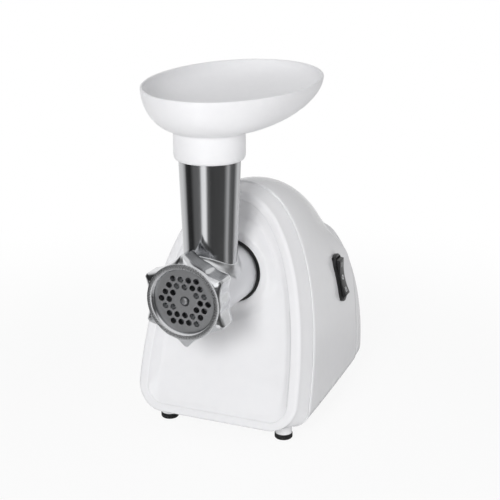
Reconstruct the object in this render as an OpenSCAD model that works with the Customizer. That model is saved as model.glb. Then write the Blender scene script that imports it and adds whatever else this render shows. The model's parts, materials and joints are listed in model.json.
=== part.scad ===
// Electric meat grinder with a metal head, a feed tube and a hopper tray.
// Millimetres. The table is Z = 0, +Z is up and the grinding head points to -Y.

/* [Overall] */
// Length from the ring nut's front to the back of the rear cover
total_l = 230; // [226:1:236]
// Height of the feed screw's axis above the table
axis_h = 135; // [134:0.5:136]
// Lean of the front face, as run back over rise
lean = 0.28; // [0.24:0.01:0.3]

/* [Body shells] */
// Half width of the body at its widest
body_hw = 76.3; // [74:0.1:77]
// Height of the underside above the table
base_h = 14.4; // [12:0.2:16]
// Height of the top of the body
body_top = 201; // [198:1:204]
// Height at which the body is widest
widest_h = 37; // [34:1:40]
// Roundness of the arch: 2 is an ellipse
arch_n = 2.12; // [2:0.02:2.3]
// Thickness of the plastic walls
wall = 2.5; // [2:0.1:3]
// Gap that shows where two shells meet
seam_gap = 0.5; // [0.3:0.1:0.8]

/* [Grinding head] */
// Outside radius of the barrel
barrel_r = 25; // [24.5:0.1:25.5]
// Bore radius of the barrel
bore_r = 23; // [22.8:0.1:23.2]
// Radius of the ring nut over its lobes
lobe_r = 36.6; // [36:0.1:38]
// Turn of the lobes when the nut is tight
nut_phase = 2; // [0:0.5:5]
// Distance from the nut's front to the feed tube's axis
tube_back = 50.4; // [50:0.1:51]
// Radius of the round bore of the feed tube
feed_r = 19; // [18.5:0.1:19]
// How much wider the feed tube's bore is at its foot, where it opens into the barrel
relief = 0.6; // [0.3:0.1:0.8]
// Radius of the grinding plate
plate_r = 26.8; // [26.7:0.1:26.8]
// Distance between the holes of the grinding plate
hole_pitch = 6.55; // [6.4:0.05:6.7]
// Radius of the holes of the grinding plate
hole_r = 2.4; // [2:0.1:2.5]

/* [Hopper tray] */
// Height of the tray's rim above the table
rim_h = 289.7; // [285:0.1:292]
// Half width of the tray
tray_hw = 66.2; // [65:0.1:67]
// Height at which the tray's bowl meets its collar
tray_low = 259; // [257:0.5:260]
// Half length of the tray
tray_hl = 95.6; // [94:0.1:96]
// Thickness of the tray's wall
tray_wall = 2.4; // [2:0.1:3]

/* [Gear train] */
// Teeth of the motor pinion
pinion_teeth = 8;
// Teeth of the first large gear
first_teeth = 48;
// Teeth of the small second and third wheels
small_teeth = 12;
// Teeth of the second large gear
second_teeth = 48;
// Teeth of the output gear
output_teeth = 42;
// Height of the motor shaft above the table
motor_h = 55; // [54:0.5:56]

/* [Hidden] */
$fn = 64;
front_y = -total_l / 2;
rear_y = total_l / 2;
face_y = front_y + 85.5;      // the front face at the height of the screw's axis
seam_y = face_y + 17;         // the join between the front and rear shells
dome_y = rear_y - 20;         // the back of the rear shell, where the cover starts
tube_y = front_y + tube_back;
tube_top = 252;
plate_y = front_y + 3.5;      // front face of the grinding plate
barrel_y0 = plate_y + 5;      // front rim of the barrel
barrel_y1 = front_y + 101;    // back end of the barrel
gear_y0 = front_y + 107;      // outside of the gearbox's front wall
gear_y1 = gear_y0 + 44;       // inside of the gearbox's rear cover
pin_r = 3;
run = 0.05;                   // radial clearance of a running fit
out_p = [0, axis_h];
mot_p = [0, motor_h];
c_pinion = (pinion_teeth + first_teeth) / 2;
c_second = (small_teeth + second_teeth) / 2 * 1.25;
c_third = (small_teeth + output_teeth) / 2 * 1.5;
inter2_p = out_p + c_third * [-0.5432, -sqrt(1 - pow(0.5432, 2))];
inter1_p = meet(inter2_p, c_second, mot_p, c_pinion);
foot_front = [52, front_y + 77.4];
foot_rear = [46, rear_y - 36];
foot_r = 7.4;
pad_h = 4.6;
switch_p = [64, 55, 111];
lock_p = [-41, axis_h - 9];

// ---------------------------------------------------------------- helpers

// Crossing point of two circles, on the +X side of the line between them
function meet(p, rp, q, rq) = let (
    d = norm(q - p),
    a = (rp * rp - rq * rq + d * d) / (2 * d),
    u = (q - p) / d)
    p + a * u + sqrt(rp * rp - a * a) * [-u[1], u[0]];

function lerp(a, b, t) = a + (b - a) * t;
function smooth(a, b, x) = let (t = min(max((x - a) / (b - a), 0), 1)) t * t * (3 - 2 * t);
function face_at(z) = face_y + lean * (z - axis_h);
function polar(r, t) = [r * cos(t), r * sin(t)];

// Right half of the body's outline in X and Z: a round lower corner, then an arch
function half_arch(a, top, rc, base) = concat(
    [for (i = [0:4]) [a - rc, base + rc] + polar(rc, -90 + 22.5 * i)],
    [for (i = [1:12]) let (t = 7.5 * i)
        [i < 12 ? a * pow(cos(t), 2 / arch_n) : 0,
         widest_h + (top - widest_h) * pow(sin(t), 2 / arch_n)]]);
function arch(a, top, rc, base) = let (h = half_arch(a, top, rc, base))
    concat(h, [for (i = [len(h) - 2:-1:0]) [-h[i][0], h[i][1]]]);
function seam_arch(inset) =
    arch(body_hw - inset, body_top - inset, 14.7 - inset, base_h + inset);
function face_arch(inset) =
    arch(body_hw - 5.3 - inset, body_top - 3.5 - inset, 24 - inset, base_h + inset);

// An outline placed on a plane that leans back by k about the axis height
function on_plane(outline, y0, k = lean) =
    [for (p = outline) [p[0], y0 + k * (p[1] - axis_h), p[1]]];

// Station t of the rear shell, from the seam (0) to its back (1)
function dome_ring(t, inset, y_end) = [for (p = seam_arch(inset)) let (
    side = 1 - 0.113 * pow(t, 1.2),
    crown = 1 - 0.33 * pow(t, 1.5),
    drop = 1 - 0.3 * pow(t, 1.9),
    z = p[1] > 100 ? 100 + (p[1] - 100) * drop : p[1])
    [p[0] * lerp(side, crown, smooth(128, 174, p[1])),
     lerp(seam_y + seam_gap + lean * (p[1] - axis_h), y_end, t), z]];

// The lower of two heights, with their meeting rounded over k
function lower(a, b, k) = let (h = min(max(0.5 + 0.5 * (b - a) / k, 0), 1)) lerp(b, a, h) - k * h * (1 - h);

// Outline of the rear cover: an arch under a low crowned roof
function hump(a, top, rc, base, roof) = [for (p = arch(a, top, rc, base))
    [p[0], p[1] > 60 ? lower(p[1], roof - 0.005 * p[0] * p[0], 3) : p[1]]];

// Solid through rings of points that have equal counts
module loft(rings) {
    n = len(rings[0]);
    m = len(rings);
    polyhedron(
        points = [for (ring = rings) each ring],
        faces = concat(
            [[for (i = [n - 1:-1:0]) i]],
            [for (k = [0:m - 2]) for (i = [0:n - 1]) let (j = (i + 1) % n) each [
                [k * n + i, k * n + j, (k + 1) * n + j],
                [k * n + i, (k + 1) * n + j, (k + 1) * n + i]]],
            [[for (i = [0:n - 1]) (m - 1) * n + i]]));
}

// Extrude a drawing made in X and Z from y0 to y1
module along_y(y0, y1) {
    translate([0, y1, 0])
        rotate([90, 0, 0])
            linear_extrude(y1 - y0)
                children();
}

module rod_y(p, r, y0, y1) {
    translate([p[0], y1, p[1]])
        rotate([90, 0, 0])
            cylinder(r = r, h = y1 - y0);
}

module tube_y(p, r, bore, y0, y1) {
    difference() {
        rod_y(p, r, y0, y1);
        rod_y(p, bore, y0 - 1, y1 + 1);
    }
}

// A pan-head screw along +Z, its head's underside at the origin
module screw(r, l, head_r, head_h) {
    translate([0, 0, -l])
        cylinder(r = r, h = l);
    difference() {
        cylinder(r = head_r, h = head_h);
        translate([0, 0, head_h - 0.6])
            cross_slot(head_r * 1.1);
    }
}

module cross_slot(l) {
    for (a = [0, 90])
        rotate([0, 0, a])
            translate([-l / 2, -0.5, 0])
                cube([l, 1, 2]);
}

// Involute tooth outline, 25 degree pressure angle, stub teeth, thinned for backlash
function inv(r, rb) = let (c = min(rb / r, 1)) (tan(acos(c)) * 180 / PI - acos(c));
function tooth_half(r, m, teeth) = let (
    rb = m * teeth / 2 * cos(25),
    at_pitch = 90 / teeth - 0.06 * m * 180 / PI / (m * teeth / 2))
    at_pitch + inv(m * teeth / 2, rb) - inv(max(r, rb), rb);
function gear_points(m, teeth, phase) = let (
    rb = m * teeth / 2 * cos(25),
    root = m * (teeth / 2 - 1),
    tip = m * (teeth / 2 + 0.72),
    rs = root < rb ? [root, rb, (rb + tip) / 2, tip] : [root, (root + tip) / 2, tip])
    [for (i = [0:teeth - 1]) let (c = phase + 360 * i / teeth) each concat(
        [for (r = rs) polar(r, c - tooth_half(r, m, teeth))],
        [for (k = [len(rs) - 1:-1:0]) polar(rs[k], c + tooth_half(rs[k], m, teeth))])];

module spur(p, m, teeth, y0, y1, phase = 0) {
    translate([p[0], 0, p[1]])
        along_y(y0, y1)
            polygon(gear_points(m, teeth, phase));
}

function angle_to(p, q) = atan2(q[1] - p[1], q[0] - p[0]);

// ---------------------------------------------------------------- body shells

module recess(grow, floor_in) {
    loft([
        on_plane(arch(62.5 + grow, 191 + grow, 15, 21 - grow), face_y - 2),
        on_plane(arch(56 + grow, 184 + grow, 13, 26 - grow), face_y + 4.9 + floor_in, 0.243)]);
}

module front_shell() {
    color("white") difference() {
        union() {
            difference() {
                loft([
                    on_plane(face_arch(3), face_y),
                    on_plane(face_arch(0.9), face_y + 0.9),
                    on_plane(face_arch(0), face_y + 3),
                    on_plane(seam_arch(0), seam_y)]);
                difference() {
                    loft([
                        on_plane(face_arch(wall), face_y + wall),
                        on_plane(seam_arch(wall), seam_y + 1)]);
                    recess(2, wall);
                }
                recess(0, 0);
            }
            rod_y(out_p, 36, face_y - 0.5, face_y + 9);
        }
        rod_y(out_p, 27.3, face_y - 5, face_y + 20);
        rod_y(out_p, 32.2, face_y + 2.3, face_y + 30);
        rod_y(lock_p, 6.5, face_y - 20, face_y + 30);
    }
}

// The opening in the underside that the base plate closes
module base_opening(gap) {
    linear_extrude(40, center = true)
        polygon([[-58 + gap, -41 + gap], [58 - gap, -41 + gap],
                 [50 - gap, dome_y - 5 - gap], [-50 + gap, dome_y - 5 - gap]]);
}

module rear_shell() {
    color("white") difference() {
        loft([for (t = [0:0.2:1.01]) dome_ring(t, 0, dome_y)]);
        loft(concat(
            [on_plane(seam_arch(wall), seam_y - 2)],
            [for (t = [0.1:0.225:1.01]) dome_ring(t, wall, dome_y - wall)]));
        along_y(dome_y - 10, dome_y + 5)
            polygon(arch(50, 136, 12, base_h + 6));
        for (p = cover_screws())
            rod_y(p, 1.6, dome_y - 10, dome_y + 5);
        translate([0, 0, base_h - 17])
            base_opening(0);
        switch_frame()
            translate([-10, -7.6, -19.2])
                cube([30, 15.2, 38.4]);
        switch_frame()
            stadium(18.6, 42.6, 0.1, 10);
    }
}

function cover_screws() = [[-36, 116], [36, 116], [-56, 44], [56, 44]];

module rear_cover() {
    color("white") difference() {
        loft([
            on_plane(hump(67.8, 156.5, 17, base_h, 146), dome_y + seam_gap, 0),
            on_plane(hump(66.8, 155.5, 17, base_h, 145.5), rear_y - 9, 0),
            on_plane(hump(65, 153, 16, base_h + 1.2, 143.5), rear_y - 2.4, 0),
            on_plane(hump(60, 147, 12, base_h + 6, 139), rear_y, 0)]);
        loft([
            on_plane(hump(65.2, 153.8, 14.5, base_h + wall, 143.4), dome_y - 1, 0),
            on_plane(hump(62.4, 150.5, 14.5, base_h + wall, 140.8), rear_y - wall, 0)]);
        for (row = [0:5])
            for (side = [-1, 1])
                translate([side * 24 - 17, rear_y - 10, 58 + 9 * row])
                    cube([34, 20, 3]);
        rod_y([0, 32], 6.1, rear_y - 10, rear_y + 5);
        for (p = cover_screws()) {
            rod_y(p, 1.7, rear_y - 10, rear_y + 5);
            rod_y(p, 3.5, rear_y - 1.7, rear_y + 5);
        }
    }
}

module base_plate() {
    color("white") difference() {
        union() {
            intersection() {
                base_opening(0.3);
                translate([-100, -100, base_h])
                    cube([200, 300, 2.4]);
            }
            for (s = [-1, 1]) {
                foot_stub(s * foot_front[0], foot_front[1]);
                foot_stub(s * foot_rear[0], foot_rear[1]);
            }
            for (x = [-34, 24])
                post(x, gear_y0 + 10, 26);
            for (x = [-20, 20])
                post(x, stack_y0 + 11, motor_h - 25.5 - base_h);
        }
        for (s = [-1, 1]) {
            peg_hole(s * foot_front[0], foot_front[1]);
            peg_hole(s * foot_rear[0], foot_rear[1]);
        }
        for (k = [0:5])
            translate([-22, 18 + 7 * k, base_h - 1])
                cube([44, 3, 5]);
        for (x = [-34, 24])
            translate([x, gear_y0 + 10, 0])
                cylinder(r = 1.6, h = 60);
    }
}

module foot_stub(x, y) {
    translate([x, y, pad_h])
        cylinder(r = 6.8, h = base_h - pad_h);
}

module peg_hole(x, y) {
    translate([x, y, pad_h - 1])
        cylinder(r = 2.5, h = 7);
}

module post(x, y, h) {
    translate([x, y, base_h + 1])
        cylinder(r = 5, h = h - 1);
}

module foot_pad(x, y) {
    color("black") translate([x, y, 0]) {
        rotate_extrude()
            polygon([[0, 0], [foot_r - 0.8, 0], [foot_r, 0.8], [foot_r, pad_h], [0, pad_h]]);
        cylinder(r = 2.5, h = pad_h + 5);
    }
}

module foot_front_left() { foot_pad(-foot_front[0], foot_front[1]); }
module foot_front_right() { foot_pad(foot_front[0], foot_front[1]); }
module foot_rear_left() { foot_pad(-foot_rear[0], foot_rear[1]); }
module foot_rear_right() { foot_pad(foot_rear[0], foot_rear[1]); }

module base_screws() {
    color("silver") for (x = [-34, 24])
        translate([x, gear_y0 + 10, base_h])
            mirror([0, 0, 1])
                screw(1.6, 34, 3, 1.6);
}

module shell_screws() {
    color("silver") for (p = cover_screws())
        translate([p[0], rear_y - 1.7, p[1]])
            rotate([-90, 0, 0])
                screw(1.6, 24, 3, 1.4);
}

module cord_gland() {
    color("dimgray") difference() {
        union() {
            rod_y([0, 32], 6, rear_y - 8, rear_y + 0);
            rod_y([0, 32], 8, rear_y - 8, rear_y - wall - 0.1);
        }
        rod_y([0, 32], 3.4, rear_y - 10, rear_y + 5);
    }
}

// ---------------------------------------------------------------- switch and wiring

// The right-hand wall where the switch sits: local +X points out of it
module switch_frame() {
    translate(switch_p)
        rotate([0, 0, 4.3])
            rotate([0, -11, 0])
                children();
}

// Round-ended plate drawn in local Y and Z
module stadium(w, h, x0, x1) {
    for (s = [-1, 1])
        translate([x0, 0, s * (h - w) / 2])
            rotate([0, 90, 0])
                cylinder(r = w / 2, h = x1 - x0);
    translate([x0, -w / 2, -(h - w) / 2])
        cube([x1 - x0, w, h - w]);
}

module switch_body() {
    color("black") switch_frame() difference() {
        union() {
            stadium(18, 42, 0.2, 2.4);
            translate([-20, -7.4, -19])
                cube([20.3, 14.8, 38]);
        }
        translate([-9, -6.3, -17.7])
            cube([15, 12.6, 35.4]);
    }
}

module rocker() {
    color("black") switch_frame() difference() {
        intersection() {
            translate([-2, 0, 0])
                rotate([90, 0, 0])
                    cylinder(r = 17.3, h = 11.8, center = true);
            translate([-4, -7, -20])
                cube([10.2, 14, 40]);
        }
        translate([63.6, 0, 0])
            rotate([90, 0, 0])
                cylinder(r = 60, h = 20, center = true, $fn = 160);
    }
}

module switch_tabs() {
    color("gold") switch_frame() for (z = [-12, 0, 12])
        translate([-28, -2.4, z - 0.4])
            cube([8, 4.8, 0.8]);
}

module terminal_block() {
    color("ivory") difference() {
        translate([-50, 34, base_h + 2.4])
            cube([14, 30, 14]);
        for (k = [0:2])
            translate([-43, 40 + 9 * k, base_h + 8])
                cylinder(r = 2.2, h = 20);
    }
}

module capacitor() {
    color("gold") translate([36, 34, base_h + 2.4])
        cube([12, 26, 18]);
}

// ---------------------------------------------------------------- lock and socket

module bayonet_lugs(r, span, y0, y1, turn) {
    for (a = [0, 180])
        along_y(y0, y1)
            translate([0, axis_h])
                polygon(concat(
                    [for (k = [0:6]) polar(r, a + turn + span * (k / 6 - 0.5))],
                    [for (k = [6:-1:0]) polar(bore_r + 0.6, a + turn + span * (k / 6 - 0.5))]));
}

module lock_socket() {
    color("dimgray") difference() {
        union() {
            rod_y(out_p, 32, face_y + 2.5, gear_y0);
            rod_y(out_p, 37, gear_y0 - 4, gear_y0);
        }
        rod_y(out_p, barrel_r + run, face_y, barrel_y1 + 1.4);
        rod_y(out_p, 17.3, face_y, gear_y0 + 1);
        rod_y(out_p, 27.3, barrel_y1 - 8, barrel_y1 - 2.4);
        bayonet_lugs(27.1, 36, face_y, barrel_y1 - 4, 35);
        for (a = [45:90:315])
            rod_y(out_p + polar(34.5, a), 1.6, gear_y0 - 6, gear_y0 + 1);
    }
}

module socket_screws() {
    color("silver") for (a = [45:90:315])
        let (p = out_p + polar(34.5, a))
            translate([p[0], gear_y0 - 4, p[1]])
                rotate([90, 0, 0])
                    screw(1.6, 6.5, 2.3, 1.4);
}

module lock_button() {
    color("white") difference() {
        union() {
            rod_y(lock_p, 6, face_y - 4, face_y + 10);
            rod_y(lock_p, 7.6, face_y + 10, face_y + 11.6);
            rod_y(lock_p, 2.6, face_y + 11, face_y + 15);
        }
        translate([lock_p[0], face_y - 26, lock_p[1]])
            sphere(r = 23);
    }
}

module lock_spring() {
    coil_r = 4.2;
    wire_r = 0.55;
    color("silver") translate([lock_p[0], face_y + 12.3, lock_p[1]])
        loft([for (k = [0:56]) let (t = k * 360 / 14)
            [for (a = [300:-60:0]) let (r = coil_r + wire_r * cos(a))
                [r * cos(t), k * 8.4 / 56 + wire_r * sin(a), r * sin(t)]]]);
}

// ---------------------------------------------------------------- gearbox

module gearbox_outline(grow, y0, y1) {
    hull() {
        rod_y(out_p, 34.5 + grow, y0, y1);
        rod_y(inter2_p, 33 + grow, y0, y1);
        rod_y(inter1_p, 27 + grow, y0, y1);
        rod_y(mot_p, 16 + grow, y0, y1);
    }
}

module gearbox_lugs(y0, y1) {
    for (p = lug_points())
        rod_y(p, 4.4, y0, y1);
}

function lug_points() = [
    out_p + polar(40.5, 62), out_p + polar(40.5, 150), inter1_p + polar(33, -8), mot_p + polar(22, 225)];

module gearbox_housing() {
    color("dimgray") difference() {
        union() {
            gearbox_outline(3, gear_y0, gear_y1);
            gearbox_lugs(gear_y0, gear_y1);
            rod_y(out_p, 17, gear_y0 - 4, gear_y0 + 1);
            translate([-39, gear_y0 + 4, base_h + 26])
                cube([10, 12, 40]);
            translate([19, gear_y0 + 4, base_h + 26])
                cube([10, 12, 40]);
        }
        gearbox_outline(0, gear_y0 + 3, gear_y1 + 1);
        rod_y(out_p, 14, gear_y0 - 5, gear_y0 + 4);
        rod_y(inter1_p, pin_r, gear_y0 + 1, gear_y0 + 5);
        rod_y(inter2_p, pin_r, gear_y0 + 1, gear_y0 + 5);
        for (p = lug_points())
            rod_y(p, 1.6, gear_y0 + 8, gear_y1 + 1);
        for (a = [45:90:315])
            rod_y(out_p + polar(34.5, a), 1.6, gear_y0 - 6, gear_y0 + 2.6);
        for (x = [-34, 24])
            translate([x, gear_y0 + 10, base_h + 20])
                cylinder(r = 1.6, h = 16);
    }
}

module gearbox_cover() {
    color("dimgray") difference() {
        union() {
            gearbox_outline(3, gear_y1, gear_y1 + 3);
            gearbox_lugs(gear_y1, gear_y1 + 3);
            rod_y(out_p, 14, gear_y1 - 4, gear_y1 + 3);
        }
        rod_y(out_p, 11, gear_y1 - 5, gear_y1 + 4);
        rod_y(inter1_p, pin_r, gear_y1 - 1, gear_y1 + 2);
        rod_y(inter2_p, pin_r, gear_y1 - 1, gear_y1 + 2);
        rod_y(mot_p, 7, gear_y1 - 1, gear_y1 + 4);
        for (p = lug_points())
            rod_y(p, 1.7, gear_y1 - 1, gear_y1 + 4);
    }
}

module gearbox_screws() {
    color("silver") for (p = lug_points())
        translate([p[0], gear_y1 + 3, p[1]])
            rotate([-90, 0, 0])
                screw(1.6, 14, 3, 1.6);
}

module output_gear() {
    color("ivory") difference() {
        spur(out_p, 1.5, output_teeth, gear_y0 + 7, gear_y0 + 18, angle_to(out_p, inter2_p));
        rod_y(out_p, 8.02, gear_y0, gear_y0 + 30);
        for (a = [0:60:300])
            rod_y(out_p + polar(19, a), 5, gear_y0, gear_y0 + 30);
    }
}

module output_shaft() {
    color("silver") difference() {
        union() {
            rod_y(out_p, 11, gear_y0 - 5, gear_y0 + 5);
            rod_y(out_p, 8, gear_y0 + 4, gear_y1 + 3);
        }
        square_bar(5.2, gear_y0 - 6, gear_y0 + 6);
    }
}

module square_bar(half, y0, y1) {
    translate([-half, y0, axis_h - half])
        cube([2 * half, y1 - y0, 2 * half]);
}

module output_front_bush() { color("gold") tube_y(out_p, 14, 11 + run, gear_y0 - 4, gear_y0 + 3); }
module output_rear_bush() { color("gold") tube_y(out_p, 11, 8 + run, gear_y1 - 4, gear_y1 + 3); }

module second_gear() {
    color("ivory") difference() {
        union() {
            spur(inter2_p, 1.5, small_teeth, gear_y0 + 7, gear_y0 + 18,
                 angle_to(inter2_p, out_p) + 180 / small_teeth);
            spur(inter2_p, 1.25, second_teeth, gear_y0 + 19.5, gear_y0 + 28.5,
                 angle_to(inter2_p, inter1_p));
            rod_y(inter2_p, 7, gear_y0 + 4, gear_y1 - 1);
        }
        rod_y(inter2_p, pin_r + run, gear_y0, gear_y1 + 1);
    }
}

module first_gear() {
    color("ivory") difference() {
        union() {
            spur(inter1_p, 1.25, small_teeth, gear_y0 + 19.5, gear_y0 + 28.5,
                 angle_to(inter1_p, inter2_p) + 180 / small_teeth);
            spur(inter1_p, 1, first_teeth, gear_y0 + 30, gear_y0 + 39,
                 angle_to(inter1_p, mot_p));
            rod_y(inter1_p, 6, gear_y0 + 4, gear_y1 - 1);
        }
        rod_y(inter1_p, pin_r + run, gear_y0, gear_y1 + 1);
    }
}

module second_pin() { color("silver") rod_y(inter2_p, pin_r, gear_y0 + 1, gear_y1 + 2); }
module first_pin() { color("silver") rod_y(inter1_p, pin_r, gear_y0 + 1, gear_y1 + 2); }

// ---------------------------------------------------------------- motor

stack_y0 = gear_y1 + 20;
stack_y1 = stack_y0 + 22;

module motor_shaft() {
    color("silver") {
        spur(mot_p, 1, pinion_teeth, gear_y0 + 29.5, gear_y1 + 1,
             angle_to(mot_p, inter1_p) + 180 / pinion_teeth);
        rod_y(mot_p, 4, gear_y1 + 1, stack_y1 + 23);
    }
}

module rotor_core() {
    color("gray") difference() {
        rod_y(mot_p, 17, stack_y0, stack_y1);
        rod_y(mot_p, 4.02, stack_y0 - 1, stack_y1 + 1);
        for (a = [0:30:330])
            rod_y(mot_p + polar(14.4, a), 1.7, stack_y0 - 1, stack_y1 + 1);
        for (a = [0:30:330])
            translate([mot_p[0], 0, mot_p[1]])
                rotate([0, -a, 0])
                    translate([14, stack_y0 - 1, -0.6])
                        cube([5, stack_y1 - stack_y0 + 2, 1.2]);
    }
}

module rotor_windings() {
    color("peru") {
        tube_y(mot_p, 15, 4.6, stack_y0 - 4, stack_y0 - 0.2);
        tube_y(mot_p, 15, 4.6, stack_y1 + 0.2, stack_y1 + 4);
        for (a = [0:30:330])
            rod_y(mot_p + polar(14.4, a), 1.4, stack_y0 - 1, stack_y1 + 1);
    }
}

module commutator() {
    color("peru") difference() {
        tube_y(mot_p, 10, 4.02, stack_y1 + 5, stack_y1 + 15);
        for (a = [0:15:165])
            translate([mot_p[0], 0, mot_p[1]])
                rotate([0, -a, 0])
                    for (s = [-1, 1])
                        translate([s * 9.4 - 0.9, stack_y1 + 4, -0.2])
                            cube([1.8, 12, 0.4]);
    }
}

module cooling_fan() {
    color("black") difference() {
        union() {
            rod_y(mot_p, 7, gear_y1 + 8, gear_y1 + 14.5);
            rod_y(mot_p, 20, gear_y1 + 13.3, gear_y1 + 14.5);
            for (a = [0:30:330])
                translate([mot_p[0], 0, mot_p[1]])
                    rotate([0, -a, 0])
                        translate([6, gear_y1 + 8, -0.6])
                            cube([13.6, 6, 1.2]);
        }
        rod_y(mot_p, 4.02, gear_y1, gear_y1 + 20);
    }
}

module coil_window(gap) {
    for (sx = [-1, 1])
        for (sz = [-1, 1])
            translate([mot_p[0] + sx * 18.5 - 4 + gap, stack_y0 - 5 + gap, mot_p[1] + sz * 17.5 - 4 + gap])
                cube([8 - 2 * gap, stack_y1 - stack_y0 + 10 - 2 * gap, 8 - 2 * gap]);
}

module stator_core() {
    color("gray") difference() {
        intersection() {
            translate([-28, stack_y0, motor_h - 25.5])
                cube([56, stack_y1 - stack_y0, 51]);
            rod_y(mot_p, 35, stack_y0, stack_y1);
        }
        rod_y(mot_p, 17.6, stack_y0 - 1, stack_y1 + 1);
        coil_window(0);
        for (s = [-1, 1])
            rod_y(mot_p + [s * 23.5, 0], 2.1, stack_y0 - 1, stack_y1 + 1);
    }
}

module field_coils() {
    color("peru") {
        coil_window(0.4);
        for (sz = [-1, 1])
            for (y = [stack_y0 - 4.6, stack_y1 + 0.4])
                translate([-22, y, motor_h + sz * 18.65 - 2.45])
                    cube([44, 4.2, 4.9]);
    }
}

module motor_bracket(y0, y1, seat_r, hub_y0, hub_y1) {
    difference() {
        union() {
            translate([-28, y0, motor_h - 7])
                cube([56, y1 - y0, 14]);
            rod_y(mot_p, seat_r + 2.5, hub_y0, hub_y1);
        }
        rod_y(mot_p, seat_r, hub_y0 - 1, hub_y1 + 1);
        for (s = [-1, 1])
            rod_y(mot_p + [s * 23.5, 0], 2.1, y0 - 1, y1 + 1);
    }
}

module motor_front_bracket() {
    color("silver") {
        motor_bracket(gear_y1 + 3, gear_y1 + 5.5, 7, gear_y1 + 3, gear_y1 + 7);
        for (s = [-1, 1])
            tube_y(mot_p + [s * 23.5, 0], 3.2, 2.1, gear_y1 + 5.5, stack_y0);
    }
}

module motor_rear_bracket() {
    color("silver") {
        motor_bracket(stack_y1 + 17, stack_y1 + 19.5, 7, stack_y1 + 17, stack_y1 + 22);
        for (s = [-1, 1])
            tube_y(mot_p + [s * 23.5, 0], 3.2, 2.1, stack_y1, stack_y1 + 17);
    }
}

module front_bearing() { color("gold") tube_y(mot_p, 7, 4 + run, gear_y1 + 2, gear_y1 + 7); }
module rear_bearing() { color("gold") tube_y(mot_p, 7, 4 + run, stack_y1 + 17, stack_y1 + 22); }

module brush_holders() {
    color("saddlebrown") for (s = [-1, 1])
        difference() {
            translate([s * 19.5 - 6, stack_y1 + 5.5, motor_h - 5.5])
                cube([12, 9, 11]);
            translate([s * 19.5 - 7, stack_y1 + 7.5, motor_h - 3.2])
                cube([14, 5, 6.4]);
            translate([s * 23.5 - 3.4, stack_y1 + 4, motor_h - 3.4])
                cube([6.8, 12, 6.8]);
        }
}

module carbon_brushes() {
    color("black") for (s = [-1, 1])
        translate([s * 14.9 - 4.6, stack_y1 + 7.6, motor_h - 3.1])
            cube([9.2, 4.8, 6.2]);
}

module motor_bolts() {
    color("silver") for (s = [-1, 1])
        translate([s * 23.5, stack_y1 + 19.5, motor_h])
            rotate([-90, 0, 0])
                screw(2, stack_y1 + 19.5 - gear_y1 - 3, 3.6, 2);
}

// ---------------------------------------------------------------- grinding head

module head_barrel() {
    color("silver") difference() {
        union() {
            rod_y(out_p, 28, barrel_y0, barrel_y0 + 9);
            rod_y(out_p, barrel_r, barrel_y0 + 8, barrel_y1);
            bayonet_lugs(26.8, 30, barrel_y1 - 7, barrel_y1 - 3, 0);
            rod_y(out_p + [0, 26], 1, barrel_y0 - 3, barrel_y0 + 1);
        }
        rod_y(out_p, bore_r, barrel_y0 - 5, barrel_y1 - 6);
        rod_y(out_p, 11, barrel_y1 - 7, barrel_y1 + 1);
        translate([0, tube_y, axis_h])
            cylinder(r = feed_r + relief, h = tube_top);
    }
}

module feed_tube() {
    color("silver") difference() {
        translate([0, tube_y, 0])
            rotate_extrude()
                polygon([[feed_r + relief, axis_h], [20.3, axis_h], [21.2, 160], [24.2, 236], [24.6, tube_top],
                         [feed_r, tube_top], [feed_r, 176], [feed_r + relief, 175]]);
        rod_y(out_p, barrel_r, barrel_y0, barrel_y1);
    }
}

module barrel_seal() {
    color("black") tube_y(out_p, 26.9, barrel_r, face_y - 1.2, face_y + 2);
}

module screw_bush() { color("gold") tube_y(out_p, 11, 8.5 + run, barrel_y1 - 6.5, barrel_y1); }
module thrust_washer() { color("ivory") tube_y(out_p, 13, 9, barrel_y1 - 7.7, barrel_y1 - 6.5); }

module feed_screw() {
    color("silver") difference() {
        union() {
            translate([0, barrel_y1 - 8, axis_h])
                rotate([90, 0, 0])
                    linear_extrude(77, twist = 360 * 3, slices = 72, $fn = 8)
                        polygon([polar(22.4, -11), polar(22.6, 0), polar(22.4, 11), polar(7, 30), polar(7, -30)]);
            translate([0, barrel_y1 - 8, axis_h])
                rotate([90, 0, 0])
                    cylinder(r1 = 13, r2 = 9, h = 77);
            rod_y(out_p, 8.5, barrel_y1 - 9, barrel_y1 + 0.4);
            square_bar(5, barrel_y1 - 2, gear_y0 + 4);
            square_bar(4.5, barrel_y1 - 91, barrel_y1 - 84);
            rod_y(out_p, 3.94, plate_y - 1, barrel_y1 - 88);
        }
        rod_y(out_p, 1.2, plate_y - 3, plate_y + 2);
    }
}

module knife() {
    color("silver") difference() {
        union() {
            rod_y(out_p, 8.5, barrel_y0 + 0.3, barrel_y0 + 6);
            for (a = [0:90:270])
                along_y(barrel_y0 + 0.3, barrel_y0 + 3.6)
                    translate([0, axis_h])
                        rotate(a + 20)
                            polygon([[3, -4.5], [22, -1.5], [22.2, 4], [16, 5.5], [3, 4.5]]);
        }
        square_bar(4.6, barrel_y0 - 1, barrel_y0 + 8);
    }
}

module grinding_plate() {
    color("silver") difference() {
        rod_y(out_p, plate_r, plate_y, barrel_y0);
        rod_y(out_p, 4, plate_y - 1, barrel_y0 + 1);
        for (i = [-4:4])
            for (j = [-4:4])
                let (p = hole_pitch * [i + j / 2, j * sqrt(3) / 2])
                    if (norm(p) > 11 && norm(p) < 20)
                        rod_y(out_p + p, hole_r, plate_y - 1, barrel_y0 + 1);
        rod_y(out_p + [0, 26.4], 1.5, plate_y + 1.4, barrel_y0 + 1);
    }
}

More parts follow.
